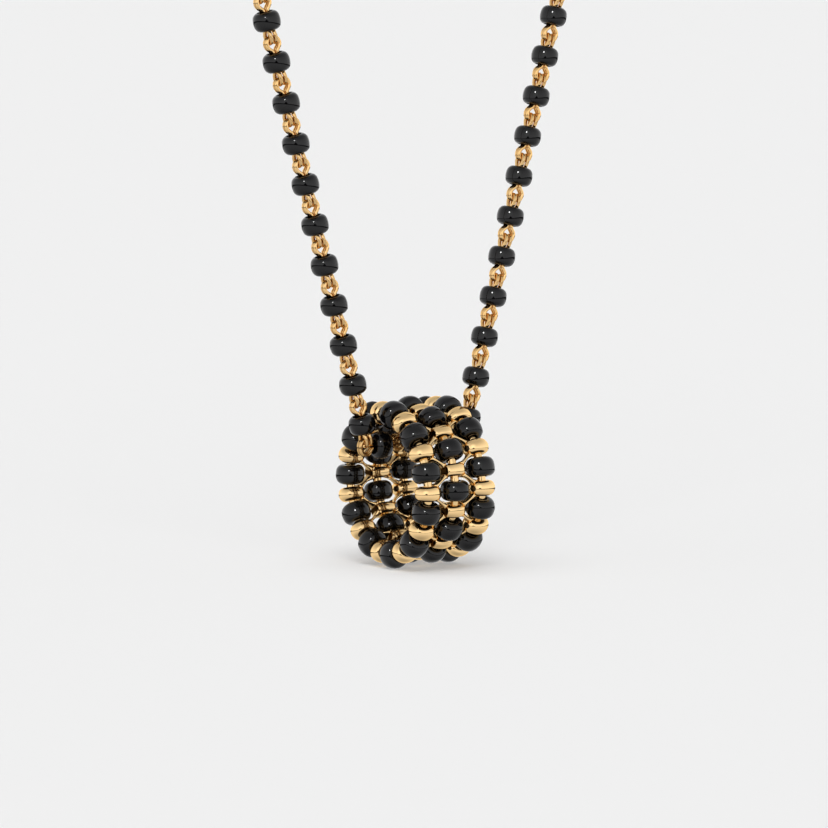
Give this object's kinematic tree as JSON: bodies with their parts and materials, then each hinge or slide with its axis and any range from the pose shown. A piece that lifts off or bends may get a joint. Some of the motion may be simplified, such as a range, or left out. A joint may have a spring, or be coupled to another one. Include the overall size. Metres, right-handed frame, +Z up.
{
  "type": "mangalsutra necklace",
  "caption": "Looped necklace of black beads on gold links, with a plain clasp and a barrel-shaped pendant of black beads in a soldered gold net that swings on the chain",
  "frame": {"origin": "middle of the clasp at the top of the loop, where the back of the neck carries the necklace", "axes": "+Z up along the hanging loop, +X to the wearer's left across the loop and along the barrel, +Y through the loop to the back"},
  "size_m": [0.092, 0.0172, 0.2033],
  "materials": {
    "gold": "polished yellow gold",
    "black_bead": "glossy opaque black"
  },
  "bodies": {
    "chain": {"chain_beads_left": "black_bead", "chain_beads_right": "black_bead", "chain_links_left": "gold", "chain_links_right": "gold", "clasp": "gold"},
    "barrel": {"barrel_net": "gold", "bead_left_1": "black_bead", "bead_left_2": "black_bead", "bead_left_3": "black_bead", "bead_left_4": "black_bead", "bead_left_5": "black_bead", "bead_left_6": "black_bead", "bead_left_7": "black_bead", "bead_left_8": "black_bead", "bead_left_9": "black_bead", "bead_left_10": "black_bead", "bead_left_11": "black_bead", "bead_middle_1": "black_bead", "bead_middle_2": "black_bead", "bead_middle_3": "black_bead", "bead_middle_4": "black_bead", "bead_middle_5": "black_bead", "bead_middle_6": "black_bead", "bead_middle_7": "black_bead", "bead_middle_8": "black_bead", "bead_middle_9": "black_bead", "bead_middle_10": "black_bead", "bead_middle_11": "black_bead", "bead_right_1": "black_bead", "bead_right_2": "black_bead", "bead_right_3": "black_bead", "bead_right_4": "black_bead", "bead_right_5": "black_bead", "bead_right_6": "black_bead", "bead_right_7": "black_bead", "bead_right_8": "black_bead", "bead_right_9": "black_bead", "bead_right_10": "black_bead", "bead_right_11": "black_bead"}
  },
  "joints": [
    {"name": "barrel_swing", "type": "hinge", "parent": "chain", "child": "barrel", "pos_m": [0, 0, -0.18895], "axis": [1, 0, 0], "range_deg": [-90, 90]}
  ]
}
